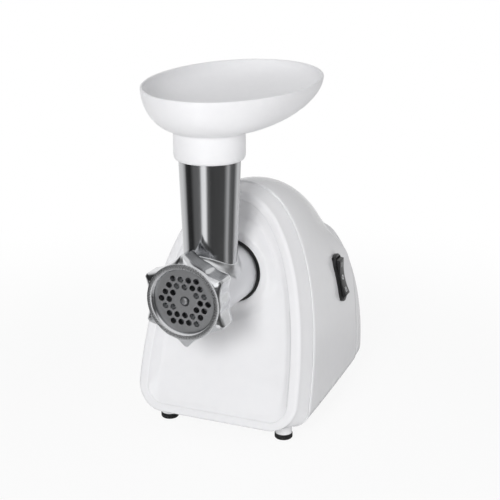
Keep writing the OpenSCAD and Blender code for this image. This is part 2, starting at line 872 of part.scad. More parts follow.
// Outline of the ring nut: six ridged lobes, each with two straight flanks, and hollow sweeps between them
function lobe_edge(r0) = let (
    half = [2, 5.5, 9.5, 12, 15, 18, 22, 26],
    turns = concat([for (k = [7:-1:0]) -half[k]], half),
    reach = lobe_r + 1.28,
    foot = reach / (cos(9.5) + sin(9.5)))
    [for (i = [0:5]) for (t = turns) let (
        a = abs(t),
        s = min((a - 9.5) / 12.5, 1),
        r = a < 9.6 ? reach / (cos(a) + sin(a)) : r0 + (foot - r0) * pow(1 - s, 2))
    polar(r, 60 * i + 30 + nut_phase + t)];

module ring_nut() {
    color("silver") difference() {
        union() {
            along_y(front_y + 2.2, front_y + 20)
                translate([0, axis_h])
                    polygon(lobe_edge(30.5));
            translate([0, front_y + 2.3, axis_h])
                rotate([90, 0, 0])
                    cylinder(r1 = 31, r2 = 29.4, h = 2.3);
        }
        rod_y(out_p, bore_r + 2, front_y - 1, front_y + 5);
        rod_y(out_p, 28 + run, plate_y - 0.3, front_y + 21);
    }
}

// ---------------------------------------------------------------- hopper tray

// Ring v of the tray: 0 at the top of its collar, 1 at its rim
function tray_ring(v, inset, lift) = let (
    u = sqrt(1 - pow(1 - v, 2)),
    a = lerp(27, tray_hw, u) - inset,
    b = lerp(27, tray_hl, u) - inset)
    [for (i = [0:47]) let (t = 7.5 * i)
        [a * cos(t), lerp(tube_y, front_y + 96, u) + b * sin(t), lerp(tray_low, rim_h, v) + lift]];

module hopper_tray() {
    color("white") difference() {
        union() {
            loft([for (v = [1, 0.97, 0.8, 0.6, 0.42, 0.26, 0.13, 0.04, 0]) tray_ring(v, 0, 0)]);
            translate([0, tube_y, 0])
                rotate_extrude()
                    polygon([[0, 236.3], [26.2, 236.3], [27.2, 237.6], [27.8, 240],
                             [27.8, tray_low + 1], [0, tray_low + 1]]);
        }
        loft([for (v = [1, 0.97, 0.8, 0.6, 0.42, 0.26, 0.13, 0.04]) tray_ring(v, tray_wall, tray_wall)]);
        translate([0, tube_y, 230])
            cylinder(r = 25, h = tube_top + 0.3 - 230);
        translate([0, tube_y, 230])
            cylinder(r = 21.5, h = 40);
    }
}

// ---------------------------------------------------------------- drawing

front_shell();
rear_shell();
rear_cover();
base_plate();
foot_front_left();
foot_front_right();
foot_rear_left();
foot_rear_right();
base_screws();
shell_screws();
cord_gland();
switch_body();
rocker();
switch_tabs();
terminal_block();
capacitor();
lock_socket();
socket_screws();
lock_button();
lock_spring();
gearbox_housing();
gearbox_cover();
gearbox_screws();
output_gear();
output_shaft();
output_front_bush();
output_rear_bush();
second_gear();
second_pin();
first_gear();
first_pin();
motor_shaft();
rotor_core();
rotor_windings();
commutator();
cooling_fan();
stator_core();
field_coils();
motor_front_bracket();
motor_rear_bracket();
front_bearing();
rear_bearing();
brush_holders();
carbon_brushes();
motor_bolts();
head_barrel();
feed_tube();
barrel_seal();
screw_bush();
thrust_washer();
feed_screw();
knife();
grinding_plate();
ring_nut();
hopper_tray();
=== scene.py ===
"""Electric meat grinder: the finished look of every piece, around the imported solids."""

import json
import math

import bmesh
import bpy
from mathutils import Matrix, Vector


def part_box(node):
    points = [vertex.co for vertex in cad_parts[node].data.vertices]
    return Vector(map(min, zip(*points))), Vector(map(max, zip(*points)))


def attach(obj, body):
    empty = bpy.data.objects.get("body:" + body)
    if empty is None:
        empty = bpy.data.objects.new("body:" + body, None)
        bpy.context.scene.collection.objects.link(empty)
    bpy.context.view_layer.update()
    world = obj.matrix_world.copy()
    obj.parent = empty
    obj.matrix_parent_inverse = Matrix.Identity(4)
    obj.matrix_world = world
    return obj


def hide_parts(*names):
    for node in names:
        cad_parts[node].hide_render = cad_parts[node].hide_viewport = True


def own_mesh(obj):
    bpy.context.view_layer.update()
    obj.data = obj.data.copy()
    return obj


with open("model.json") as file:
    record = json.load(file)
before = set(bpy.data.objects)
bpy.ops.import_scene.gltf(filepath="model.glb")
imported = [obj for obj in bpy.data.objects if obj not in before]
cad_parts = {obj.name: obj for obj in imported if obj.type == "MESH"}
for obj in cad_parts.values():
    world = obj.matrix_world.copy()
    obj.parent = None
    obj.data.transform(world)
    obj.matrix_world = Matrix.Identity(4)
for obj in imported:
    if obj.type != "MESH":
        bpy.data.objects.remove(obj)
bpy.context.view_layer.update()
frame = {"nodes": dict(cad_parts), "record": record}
nodes = frame["nodes"]
scene = bpy.context.scene

MM = 0.001             # a millimetre in metres
MERGE = 2e-6           # metres within which the corners of loose triangles are one

# Main sizes in millimetres, as in the part's source
AXIS_H = 135.0         # height of the barrel's axis
LEAN = 0.28            # how far the face and the seam lean back for each millimetre of height
FACE_Y = -29.5         # the face's rim, at the axis height
SEAM_Y = -12.5         # the seam between the shells, at the axis height
DOME_Y = 95.0          # end of the rear shell
BACK_Y = 115.0         # back of the rear cover
BASE_H = 14.4          # underside of the body
WALL = 2.5             # wall of the shells
BODY_HW = 76.3         # the seam's half width
BODY_TOP = 201         # the seam's top
BODY_CORNER = 14.7     # radius of the seam's foot corners
FACE_HW = 71           # the face's half width
BOSS_Y = -30.0         # flat top of the boss round the barrel
BOSS_R = 33            # where that flat ends
KNOB = (-41, 126)      # X and Z of the lock button
TUBE_Y = -64.6         # axis of the feed tube
TUBE_BORE = 19.0
BARREL_R = 25.0
TRAY_LOW = 259.0       # where the tray's bowl leaves its collar
RIM_H = 289.7          # top of the tray's rim
TRAY_WALL = 2.2
NUT_FRONT = -115.0     # front face of the ring nut
ROUND_STEPS = 144      # points round the tray and the tube
CORE_STEPS = 96        # points round the screw's core


# ------------------------------------------------------------------ shaping helpers

def mix(a, b, t):
    """The value a share t of the way from a to b."""
    return a + (b - a) * t


def ease(low, high, x):
    """0 below low, 1 above high, and a smooth rise between."""
    t = min(max((x - low) / (high - low), 0.0), 1.0)
    return t * t * (3 - 2 * t)


def arch(a, top, rc, base):
    """Outline of the body in X and Z: flat foot, round lower corners, then an arch."""
    power = 2.12           # fullness of the arch, where 2 is an ellipse
    widest = max(37.0, base + rc - 2)
    right = [((a - rc) * i / 14, base) for i in range(14)]
    for i in range(11):
        t = math.radians(-90 + 9 * i)
        right.append((a - rc + rc * math.cos(t), base + rc + rc * math.sin(t)))
    for i in range(1, 45):
        t = math.radians(90 * i / 44)
        c = 0.0 if i == 44 else math.cos(t) ** (2 / power)
        right.append((a * c, widest + (top - widest) * math.sin(t) ** (2 / power)))
    return right + [(-x, z) for x, z in reversed(right[1:-1])]


def leaning(outline, y0):
    """An outline set on a plane that leans back about the axis height."""
    return [(x, y0 + LEAN * (z - AXIS_H), z) for x, z in outline]


def between(ring_a, ring_b, t):
    """The ring a share t of the way from one ring to another."""
    return [tuple(mix(p, q, t) for p, q in zip(a, b)) for a, b in zip(ring_a, ring_b)]


def rounded(corners, steps=5):
    """A closed profile of (u, v, radius) corners with each corner made an arc."""
    out = []
    n = len(corners)
    for i, (u, v, radius) in enumerate(corners):
        here = Vector((u, v))
        if radius <= 0:
            out.append((u, v))
            continue
        before = (Vector(corners[i - 1][:2]) - here).normalized()
        after = (Vector(corners[(i + 1) % n][:2]) - here).normalized()
        half = before.angle(after) / 2
        reach = radius / math.tan(half)
        centre = here + (before + after).normalized() * radius / math.sin(half)
        start = here + before * reach - centre
        stop = here + after * reach - centre
        for k in range(steps + 1):
            sweep = math.pi - 2 * half
            a = math.sin(sweep * (1 - k / steps)) / math.sin(sweep)
            b = math.sin(sweep * k / steps) / math.sin(sweep)
            spoke = start * a + stop * b
            out.append(tuple(centre + spoke))
    return out


def loop_of(bm, points):
    """A closed loop of edges through points given in millimetres."""
    verts = [bm.verts.new(Vector(p) * MM) for p in points]
    return [bm.edges.new(pair) for pair in zip(verts, verts[1:] + verts[:1])]


def skinned(rings, joined=True, filled=()):
    """Extrude a loop of edges from ring to ring.

    joined welds the last ring to the first, and filled names the ends, "first" or "last",
    that get a flat face.
    """
    bm = bmesh.new()
    edges = loop_of(bm, rings[0])
    start = front = list(bm.verts)
    if "first" in filled:
        bmesh.ops.contextual_create(bm, geom=edges)
    for ring in rings[1:] + (rings[:1] if joined else []):
        grown = bmesh.ops.extrude_edge_only(bm, edges=edges)["geom"]
        fresh = {g for g in grown if isinstance(g, bmesh.types.BMVert)}
        front = [next(e.other_vert(v) for e in v.link_edges if e.other_vert(v) in fresh)
                 for v in front]
        for vert, point in zip(front, ring):
            vert.co = Vector(point) * MM
        edges = [bm.edges.get(pair) for pair in zip(front, front[1:] + front[:1])]
    if "last" in filled:
        bmesh.ops.contextual_create(bm, geom=edges)
    if joined:
        bmesh.ops.weld_verts(bm, targetmap=dict(zip(front, start)))
    return bm


def turned(profile, centre=(0.0, 0.0, AXIS_H), axis=(0, 1, 0), steps=128):
    """Spin a closed profile of (radius, place along the axis) about an axis.

    A profile that touches the axis, at radius 0, gets one point at each pole.
    """
    along = Vector(axis)
    out = Vector((1, 0, 0))
    middle = Vector(centre)
    bm = bmesh.new()
    edges = loop_of(bm, [middle + out * r + along * h for r, h in profile])
    bmesh.ops.spin(bm, geom=edges + bm.verts[:], cent=middle * MM, axis=along,
                   angle=2 * math.pi, steps=steps, use_merge=True)
    bmesh.ops.remove_doubles(bm, verts=bm.verts, dist=1e-7)
    bmesh.ops.delete(bm, geom=[e for e in bm.edges if e.is_wire], context="EDGES")
    return bm


def piece(bm, name, body, material, replaces=(), sharp=40):
    """Finish a bmesh as a smooth object that rides on a body; sharp is in degrees."""
    bmesh.ops.recalc_face_normals(bm, faces=bm.faces)
    mesh = bpy.data.meshes.new(name)
    bm.to_mesh(mesh)
    bm.free()
    mesh.shade_smooth()
    mesh.set_sharp_from_angle(angle=math.radians(sharp))
    mesh.materials.append(material)
    item = bpy.data.objects.new(name, mesh)
    scene.collection.objects.link(item)
    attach(item, body)
    if replaces:
        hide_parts(*replaces)
    return item


def cut(item, tool_bm, action="DIFFERENCE"):
    """Cut a closed bmesh out of an object, or join it on, and leave plain mesh."""
    bmesh.ops.recalc_face_normals(tool_bm, faces=tool_bm.faces)
    mesh = bpy.data.meshes.new("cutter")
    tool_bm.to_mesh(mesh)
    tool_bm.free()
    cutter = bpy.data.objects.new("cutter", mesh)
    scene.collection.objects.link(cutter)
    change = item.modifiers.new("cut", "BOOLEAN")
    change.operation = action
    change.solver = "EXACT"
    change.object = cutter
    graph = bpy.context.evaluated_depsgraph_get()
    result = bpy.data.meshes.new_from_object(item.evaluated_get(graph))
    item.modifiers.clear()
    old = item.data
    item.data = result
    bpy.data.meshes.remove(old)
    bpy.data.objects.remove(cutter)
    bpy.data.meshes.remove(mesh)
    result.shade_smooth()
    result.set_sharp_from_angle(angle=math.radians(40))


def bar(p0, p1, r, steps=48):
    """A plain round bar between two points, for cutting."""
    a, b = Vector(p0), Vector(p1)
    way = b - a
    turn = way.to_track_quat("Z", "Y").to_matrix().to_4x4()
    bm = bmesh.new()
    bmesh.ops.create_cone(bm, cap_ends=True, segments=steps, radius1=r * MM, radius2=r * MM,
                          depth=way.length * MM, matrix=Matrix.Translation((a + b) / 2 * MM) @ turn)
    return bm


def block(low, high, place):
    """A plain block between two corners of a placed frame, for cutting."""
    low, high = Vector(low), Vector(high)
    size = Matrix.Diagonal(((high - low) * MM).to_4d())
    size[3][3] = 1
    bm = bmesh.new()
    bmesh.ops.create_cube(bm, size=1, matrix=Matrix.Translation((low + high) / 2 * MM) @ size)
    bmesh.ops.transform(bm, matrix=place, verts=bm.verts)
    return bm


def merged(node):
    """A copy of a solid's mesh with its loose triangles merged."""
    bm = bmesh.new()
    bm.from_mesh(nodes[node].data)
    bmesh.ops.remove_doubles(bm, verts=bm.verts, dist=MERGE)
    return bm


def arc_swept(bm, edges, angle, steps, rise=0.0):
    """Sweep a section's loop of edges about the barrel's axis and close both ends."""
    made = bmesh.ops.spin(bm, geom=edges + bm.verts[:], cent=(0, 0, AXIS_H * MM), axis=(0, 1, 0),
                          dvec=(0, rise * MM / steps, 0), angle=angle, steps=steps)
    last = [g for g in made["geom_last"] if isinstance(g, bmesh.types.BMEdge)]
    for end in (edges, last):
        bmesh.ops.contextual_create(bm, geom=end)


def softened(node, name, body, material, width, segments=2, sharp=50):
    """A copy of a solid with its crisp edges bevelled by width, in millimetres."""
    least = math.radians(35)        # an edge that turns less stays as it is
    bm = merged(node)
    bmesh.ops.dissolve_limit(bm, angle_limit=math.radians(1.5), verts=bm.verts,
                             edges=bm.edges, delimit={"NORMAL"})
    crisp = [e for e in bm.edges if e.is_manifold and e.calc_face_angle(0) > least]
    bmesh.ops.bevel(bm, geom=crisp, offset=width * MM, offset_type="OFFSET", segments=segments,
                    profile=0.5, affect="EDGES", material=-1, clamp_overlap=True)
    return piece(bm, name, body, material, (node,), sharp)


# ------------------------------------------------------------------ materials

def ink(code):
    """A hex colour as linear red, green, blue and 1."""
    out = []
    for k in (1, 3, 5):
        c = int(code[k:k + 2], 16) / 255
        out.append(c / 12.92 if c <= 0.04045 else ((c + 0.055) / 1.055) ** 2.4)
    return (*out, 1.0)


def put(tree, kind, inputs=None, **settings):
    """Add one node with its settings, input values and links."""
    node = tree.nodes.new(kind)
    for key, value in settings.items():
        setattr(node, key, value)
    for key, value in (inputs or {}).items():
        if isinstance(value, bpy.types.NodeSocket):
            tree.links.new(value, node.inputs[key])
        else:
            node.inputs[key].default_value = value
    return node


def finish_of(name, shader):
    """A new material with one Principled shader; shader holds its plain inputs."""
    material = bpy.data.materials.new(name)
    material.use_nodes = True
    tree = material.node_tree
    tree.nodes.clear()
    surface = put(tree, "ShaderNodeBsdfPrincipled", shader)
    put(tree, "ShaderNodeOutputMaterial", {"Surface": surface.outputs[0]})
    where = put(tree, "ShaderNodeTexCoord")
    return material, tree, surface, where.outputs["Object"]


def grain(tree, surface, where, size_mm, stretch, dark, light, rough, depth_mm):
    """Noise of a real size that varies colour and roughness; gives back the lift it makes."""
    spread = put(tree, "ShaderNodeMapping", {"Vector": where, "Scale": stretch})
    noise = put(tree, "ShaderNodeTexNoise", {
        "Vector": spread.outputs[0], "Scale": 1 / (size_mm * MM), "Detail": 3.0,
        "Roughness": 0.55})
    tone = put(tree, "ShaderNodeMix", {
        0: noise.outputs["Fac"], 6: ink(dark), 7: ink(light)}, data_type="RGBA")
    dull = put(tree, "ShaderNodeMapRange", {
        "Value": noise.outputs["Fac"], "From Min": 0.25, "From Max": 0.75,
        "To Min": rough[0], "To Max": rough[1]})
    lift = put(tree, "ShaderNodeBump", {
        "Height": noise.outputs["Fac"], "Strength": 1.0, "Distance": depth_mm * MM})
    tree.links.new(tone.outputs[2], surface.inputs["Base Color"])
    tree.links.new(dull.outputs[0], surface.inputs["Roughness"])
    tree.links.new(lift.outputs[0], surface.inputs["Normal"])
    return lift


def rings_about_axis(tree, where, wave):
    """Ring marks about the barrel's axis, pi / (10 * Scale) metres apart."""
    centred = put(tree, "ShaderNodeMapping", {
        "Vector": where, "Location": (0, 0, -AXIS_H * MM)})
    return put(tree, "ShaderNodeTexWave", {"Vector": centred.outputs[0], "Detail": 2.0, **wave},
               wave_type="RINGS", rings_direction="Y")


def gloss_abs():
    # Moulded ABS: a bright skin with a faint long ripple from the tool
    m, tree, surface, where = finish_of("glossy white ABS", {
        "IOR": 1.52, "Specular IOR Level": 0.5})
    grain(tree, surface, where, 9.0, (1, 1, 1), "#F1F1F3", "#F5F5F6", (0.12, 0.17), 0.008)
    return m


def satin_pp():
    # Moulded polypropylene: softer shine than the body and slightly milky
    m, tree, surface, where = finish_of("satin white polypropylene", {
        "IOR": 1.49, "Subsurface Weight": 0.08, "Subsurface Scale": 0.002})
    surface.inputs["Subsurface Radius"].default_value = (1.0, 1.0, 1.0)
    grain(tree, surface, where, 6.0, (1, 1, 1), "#F0F0F2", "#F5F5F6", (0.3, 0.38), 0.01)
    return m


def polished_steel():
    # Polished stainless tube: clear mirror streaks, softened by faint draw lines along it.
    # Real ones are finer than 0.1 mm and are drawn 1.6 mm apart so that they show
    m, tree, surface, where = finish_of("polished stainless steel", {
        "Metallic": 1.0, "Anisotropic": 0.3})
    grain(tree, surface, where, 1.6, (1, 1, 0.04), "#B9BABC", "#C6C7C9", (0.1, 0.16), 0.004)
    return m


def blasted_aluminium():
    # Bead-blasted casting: even satin with a fine speckle. Beads leave pits of about
    # 0.1 mm, which are drawn at 0.9 mm so that they show
    m, tree, surface, where = finish_of("bead-blasted aluminium", {"Metallic": 1.0})
    grain(tree, surface, where, 0.9, (1, 1, 1), "#E6E7E9", "#F0F0F2", (0.42, 0.52), 0.02)
    return m


def buffed_aluminium():
    # Buffed casting: bright flanks with the slow waves of hand buffing, and a front face
    # left as turned, which scatters more and shows rings about the axis. The tool's marks
    # are about 0.1 mm apart and are drawn 1 mm apart so that they show
    m, tree, surface, where = finish_of("buffed aluminium", {"Metallic": 1.0})
    lift = grain(tree, surface, where, 7.0, (1, 0.5, 1), "#CDCED0", "#DDDEE0", (0.08, 0.14), 0.04)
    place = put(tree, "ShaderNodeSeparateXYZ", {0: where})
    face = put(tree, "ShaderNodeMapRange", {
        "Value": place.outputs[1], "From Min": (NUT_FRONT + 0.8) * MM,
        "From Max": (NUT_FRONT + 0.3) * MM})
    fine = put(tree, "ShaderNodeTexNoise", {
        "Vector": where, "Scale": 1 / (0.7 * MM), "Detail": 2.0})
    matt = put(tree, "ShaderNodeMapRange", {
        "Value": fine.outputs["Fac"], "From Min": 0.3, "From Max": 0.7,
        "To Min": 0.2, "To Max": 0.34})
    buffed = surface.inputs["Roughness"].links[0].from_socket
    rough = put(tree, "ShaderNodeMix", {0: face.outputs[0], 2: buffed, 3: matt.outputs[0]})
    tree.links.new(rough.outputs[0], surface.inputs["Roughness"])
    rings = rings_about_axis(tree, where, {"Scale": 300.0, "Distortion": 1.5})
    marks = put(tree, "ShaderNodeMath", {0: rings.outputs["Fac"], 1: face.outputs[0]},
                operation="MULTIPLY")
    turned_lift = put(tree, "ShaderNodeBump", {
        "Height": marks.outputs[0], "Strength": 0.6, "Distance": 0.02 * MM,
        "Normal": lift.outputs[0]})
    tree.links.new(turned_lift.outputs[0], surface.inputs["Normal"])
    return m


def ground_steel(name, dark, light, rough):
    # Ground stainless steel: a grey satin with rings about the screw's axis from the
    # grinding wheel. Real ones are finer than 0.1 mm and are drawn 0.75 mm apart
    m, tree, surface, where = finish_of(name, {"Metallic": 1.0})
    rings = rings_about_axis(tree, where, {
        "Scale": 420.0, "Distortion": 1.2, "Detail Scale": 3.0})
    lift = grain(tree, surface, where, 1.2, (1, 1, 1), dark, light, rough, 0.01)
    brushed = put(tree, "ShaderNodeBump", {
        "Height": rings.outputs["Fac"], "Strength": 0.5, "Distance": 0.01 * MM,
        "Normal": lift.outputs[0]})
    tree.links.new(brushed.outputs[0], surface.inputs["Normal"])
    return m


def plain(name, dark, light, rough, size_mm=2.0, depth_mm=0.01, stretch=(1, 1, 1), **shader):
    """A finish that is only a grain: its colours, roughness range and grain size."""
    m, tree, surface, where = finish_of(name, {k.replace("_", " "): v for k, v in shader.items()})
    grain(tree, surface, where, size_mm, stretch, dark, light, rough, depth_mm)
    return m


white_abs = gloss_abs()
white_pp = satin_pp()
tube_steel = polished_steel()
barrel_metal = blasted_aluminium()
nut_metal = buffed_aluminium()
plate_steel = ground_steel("ground stainless plate", "#B9BABC", "#CBCCCE", (0.34, 0.46))
knife_steel = ground_steel("ground stainless knife", "#ABACAE", "#C4C5C7", (0.2, 0.32))

# Scoured where the wheel can't reach: a cloudy half shine between the tube and the barrel
neck_metal = plain("scoured aluminium neck", "#DCDDDF", "#E8E9EB", (0.26, 0.36), 2.0, 0.02,
                   Metallic=1.0)
# As cast: a dull grey skin with shallow dimples
screw_metal = plain("as-cast aluminium", "#A9AAAC", "#C2C3C5", (0.35, 0.5), 1.5, 0.04,
                    Metallic=1.0)
# Moulded rubber: nearly matt black, a little uneven where it is handled
foot_rubber = plain("black nitrile rubber", "#0E0E0F", "#19191A", (0.55, 0.7), 0.8, 0.03)
# Silicone: smoother than the feet, with a soft edge of light
seal_rubber = plain("black silicone rubber", "#0B0B0C", "#141415", (0.4, 0.5), 1.0, 0.01)
# Spark-eroded mould: a satin black whose grain breaks up the highlights
switch_nylon = plain("black moulded nylon", "#121213", "#1D1D1F", (0.3, 0.42), 0.6, 0.012)
# Pad-printed ink: flat and slightly patchy
mark_paint = plain("white pad-printed ink", "#DADADC", "#E6E6E8", (0.45, 0.6), 0.5, 0.002)
# Machined brass: warm, with tool lines along its length
brass = plain("machined brass", "#B88A3E", "#CFA352", (0.25, 0.4), 1.0, 0.01, (1, 0.1, 1),
              Metallic=1.0)
# Zinc plating: bright but a little milky
zinc_plate = plain("zinc-plated steel", "#B4B5B5", "#CBCCCC", (0.25, 0.4), 0.8, 0.01,
                   Metallic=1.0)
# Centreless-ground bar: darker steel with lines along it
shaft_steel = plain("ground shaft steel", "#98999B", "#AEAFB1", (0.2, 0.3), 0.5, 0.006,
                    (1, 0.05, 1), Metallic=1.0)
# Glass fibres near the skin: matt, flecked grey
grey_nylon = plain("glass-filled grey nylon", "#4C4D4F", "#5D5E60", (0.5, 0.65), 0.5, 0.02)
# Unfilled nylon: a waxy cream that lets a little light in
natural_nylon = plain("natural nylon", "#E4DFCE", "#EFEBDD", (0.35, 0.5), 1.5, 0.008,
                      Subsurface_Weight=0.1, Subsurface_Scale=0.001)
# Stacked sheets: fine dark lines across the stack, half a millimetre apart
lamination = plain("stacked silicon steel", "#4E4F52", "#6C6D70", (0.4, 0.6), 0.5, 0.06,
                   (0.02, 1, 0.02), Metallic=1.0)
# Enamelled wire: glossy brown ridges of single turns
copper_wire = plain("varnished copper wire", "#8E4A22", "#C0703A", (0.25, 0.4), 0.9, 0.15,
                    (1, 0.1, 1), Metallic=1.0)
# Die casting: a cool satin skin with flow marks
zinc_casting = plain("die-cast zinc", "#A3A4A6", "#B9BABC", (0.35, 0.5), 1.2, 0.03,
                     Metallic=1.0)
# Pressed resin: dark brown and evenly dull
phenolic = plain("brown phenolic resin", "#3E2110", "#56301A", (0.35, 0.5), 0.8, 0.01)
# Pressed carbon: sooty, with a coarse grain
carbon = plain("pressed carbon", "#1B1B1C", "#2B2B2C", (0.5, 0.65), 0.5, 0.02)
# Dipped film capacitor: a smooth yellow shell
film_case = plain("yellow film case", "#C79B22", "#D9B03A", (0.3, 0.45), 2.0, 0.01)

# Each solid that stays shown takes its slot's finish
slot_finish = {
    "white_body": white_abs, "white_tray": white_pp, "black_rubber": foot_rubber,
    "plated_screw": zinc_plate, "black_switch": switch_nylon, "brass_parts": brass,
    "grey_housing": grey_nylon, "natural_nylon": natural_nylon, "film_capacitor": film_case,
    "ground_steel": shaft_steel, "motor_laminations": lamination, "copper_winding": copper_wire,
    "zinc_bracket": zinc_casting, "brown_phenolic": phenolic, "carbon": carbon,
    "cast_head": barrel_metal, "polished_tube": tube_steel, "cast_screw": screw_metal,
    "cutter_steel": knife_steel, "cast_nut": nut_metal,
}
for part in frame["record"]["subparts"]:
    for place in nodes[part["node"]].material_slots:
        place.material = slot_finish[part["material_slot"]]


# ------------------------------------------------------------------ front shell

def front_outline(s, inset):
    """Outline of the front shell's side, from the seam (0) to the face (1)."""
    return arch(mix(BODY_HW, FACE_HW, s) - inset, mix(BODY_TOP, 197.5, s) - inset,
                max(mix(BODY_CORNER, 24, s) - inset, 6), BASE_H + inset)


def floor_y(x, z):
    """Floor of the face's recess: a leaning plane that ramps out to the rim at its foot."""
    depth, lean = 4.9, 0.243        # behind the rim at the axis height, and its own lean
    steepness, softness = 0.325, 3  # of the ramp, and of the crease where it starts
    crease = 50 - 2 * (x / 55) ** 2
    below = crease - z
    ramp = steepness * (below + math.sqrt(below * below + softness)) / 2
    return FACE_Y + depth + lean * (z - AXIS_H) - ramp


def on_floor(outline):
    return [(x, floor_y(x, z), z) for x, z in outline]


def front_shell():
    # the side, from a small groove at the seam to the round edge of the face
    rings = [leaning(front_outline(0, 1.6), SEAM_Y - 0.2),
             leaning(front_outline(0, 1.1), SEAM_Y - 0.7)]
    for k in range(1, 5):
        s = k / 4
        rings.append(leaning(front_outline(s, 1.1 * (1 - s)), mix(SEAM_Y - 0.7, FACE_Y + 3, s)))
    for k in range(1, 8):
        t = math.radians(90 * k / 7)
        rings.append(leaning(front_outline(1, 3 * (1 - math.cos(t))),
                             FACE_Y + 3 * (1 - math.sin(t))))

    # the flat rim, its inner edge, and the soft bend onto the recess floor
    lip = leaning(arch(63.4, 191.4, 16, 20.1), FACE_Y)
    edge = leaning(arch(62, 190, 15, 21.5), FACE_Y + 1.3)
    rings += [between(rings[-1], lip, 0.5), lip]
    for k in range(1, 5):
        t = math.radians(22.5 * k)
        share = (math.sin(t), 1 - math.cos(t), math.sin(t))
        rings.append([tuple(p + (q - p) * w for p, q, w in zip(a, b, share))
                      for a, b in zip(lip, edge)])
    foot_line = on_floor(arch(56, 184, 13.5, 26))
    inner = on_floor(arch(52.5, 180.5, 11, 29.5))
    rings += [between(edge, foot_line, t) for t in (0.35, 0.7)]
    bend_a = between(edge, foot_line, 0.82)
    bend_b = between(foot_line, inner, 0.5)
    for k in range(6):
        t = k / 5
        rings.append([tuple((1 - t) ** 2 * a + 2 * t * (1 - t) * b + t * t * c
                            for a, b, c in zip(p, q, r))
                      for p, q, r in zip(bend_a, foot_line, bend_b)])

    # the recess floor, in to the foot of the boss's fillet, which stops short of the bend
    fillet_r = 42.5
    angles = [math.atan2(z - AXIS_H, x) for x, _, z in bend_b]
    reach = [min(fillet_r, math.hypot(x, z - AXIS_H) - 1.2) for x, _, z in bend_b]
    floor_rings = [bend_b]
    for k in range(1, 19):
        t = (k / 18) ** 0.9
        floor_rings.append(on_floor([
            (mix(x, far * math.cos(a), t), mix(z, AXIS_H + far * math.sin(a), t))
            for (x, _, z), a, far in zip(bend_b, angles, reach)]))
    rings += floor_rings[1:]

    def boss_side(u, rise=True, back=0.0):
        """Ring from the foot of the boss's fillet (u = 0) to the edge of its flat top (1)."""
        ring = []
        for a, far in zip(angles, reach):
            r = mix(far, BOSS_R, u)
            px, pz = r * math.cos(a), AXIS_H + r * math.sin(a)
            w = 1 - ease(BOSS_R + 0.2, far, r) if rise else 0
            ring.append((px, mix(floor_y(px, pz), BOSS_Y, w) + back, pz))
        return ring

    def about(r, y):
        return [(r * math.cos(a), y, AXIS_H + r * math.sin(a)) for a in angles]

    # the boss, the bore for the barrel and the way back along the inside of the wall
    rings += [boss_side(k / 13) for k in range(1, 14)]
    rings += [about(r, y) for r, y in (
        (30.5, BOSS_Y), (28.0, BOSS_Y), (27.55, -29.85), (27.3, -29.5), (27.3, -27.6),
        (32.4, -27.6), (32.4, -21), (35.5, -21))]
    rings.append(boss_side(0.35, False, WALL))
    for ring in reversed(floor_rings[::3]):
        rings.append([(x, y + WALL, z) for x, y, z in ring])
    rings.append(leaning(arch(65, 192.5, 17, 18.4), FACE_Y + WALL + 1))
    rings.append(leaning(front_outline(0.8, 3), FACE_Y + 5))
    rings.append(leaning(front_outline(0, 3.6), SEAM_Y - 0.2))
    shell = piece(skinned(rings), "front_panel", "body", white_abs,
                  ("front_shell",))
    cut(shell, bar((KNOB[0], -60, KNOB[1]), (KNOB[0], 10, KNOB[1]), 6.5))


front_shell()


# ------------------------------------------------------------------ rear shell and cover

SWITCH = (Matrix.Translation(Vector((64, 55, 111)) * MM)
          @ Matrix.Rotation(math.radians(4.3), 4, "Z") @ Matrix.Rotation(math.radians(-11), 4, "Y"))


def dome(t, inset, y_end):
    """Ring of the rear shell, from the seam (t = 0) to its end (1), falling and narrowing."""
    shoulder = 100                  # only what is above this height falls
    side = 1 - 0.113 * t ** 1.2     # how much width is left low down
    crown = 1 - 0.33 * t ** 1.5     # how much is left at the top
    drop = 1 - 0.3 * t ** 1.9       # how much height is left above the shoulder
    ring = []
    for x, z in arch(BODY_HW - inset, BODY_TOP - inset, BODY_CORNER - inset, BASE_H + inset):
        y = mix(SEAM_Y + 0.5 + LEAN * (z - AXIS_H), y_end, t)
        fallen = shoulder + (z - shoulder) * drop if z > shoulder else z
        ring.append((x * mix(side, crown, ease(128, 174, z)), y, fallen))
    return ring


def at_y(ring, y):
    """The same outline, flat at one place along the body."""
    return [(point[0], y, point[-1]) for point in ring]


def rear_shell():
    rings = [leaning(arch(BODY_HW - 0.4, BODY_TOP - 0.4, BODY_CORNER - 0.4, BASE_H + 0.4),
                     SEAM_Y + 0.4)]
    rings += [dome(max(k / 40, 0.004), 0, DOME_Y) for k in range(41)]
    last = rings[-1]
    small = dome(1, 1.0, DOME_Y)
    rings[-1] = at_y(last, DOME_Y - 0.8)
    rings.append(at_y(between(last, small, 0.3), DOME_Y - 0.25))
    rings.append(at_y(small, DOME_Y))
    doorway = arch(50, 136, 12, BASE_H + 6)
    rings += [at_y(doorway, y) for y in (DOME_Y, DOME_Y - WALL)]
    rings += [dome(k / 10, WALL, DOME_Y - WALL) for k in range(10, 0, -1)]
    rings.append(leaning(arch(BODY_HW - WALL, BODY_TOP - WALL, BODY_CORNER - WALL, BASE_H + WALL),
                         SEAM_Y + 0.4))
    shell = piece(skinned(rings), "rear_housing", "body", white_abs,
                  ("rear_shell",))
    # the open foot, which the base plate closes, and the switch's opening
    foot = [(-58, -41), (58, -41), (50, 90), (-50, 90)]
    cut(shell, skinned([[(x, y, z) for x, y in foot] for z in (5, 20)],
                       joined=False, filled=("first", "last")))
    cut(shell, block((-10, -7.6, -19.2), (12, 7.6, 19.2), SWITCH))


rear_shell()


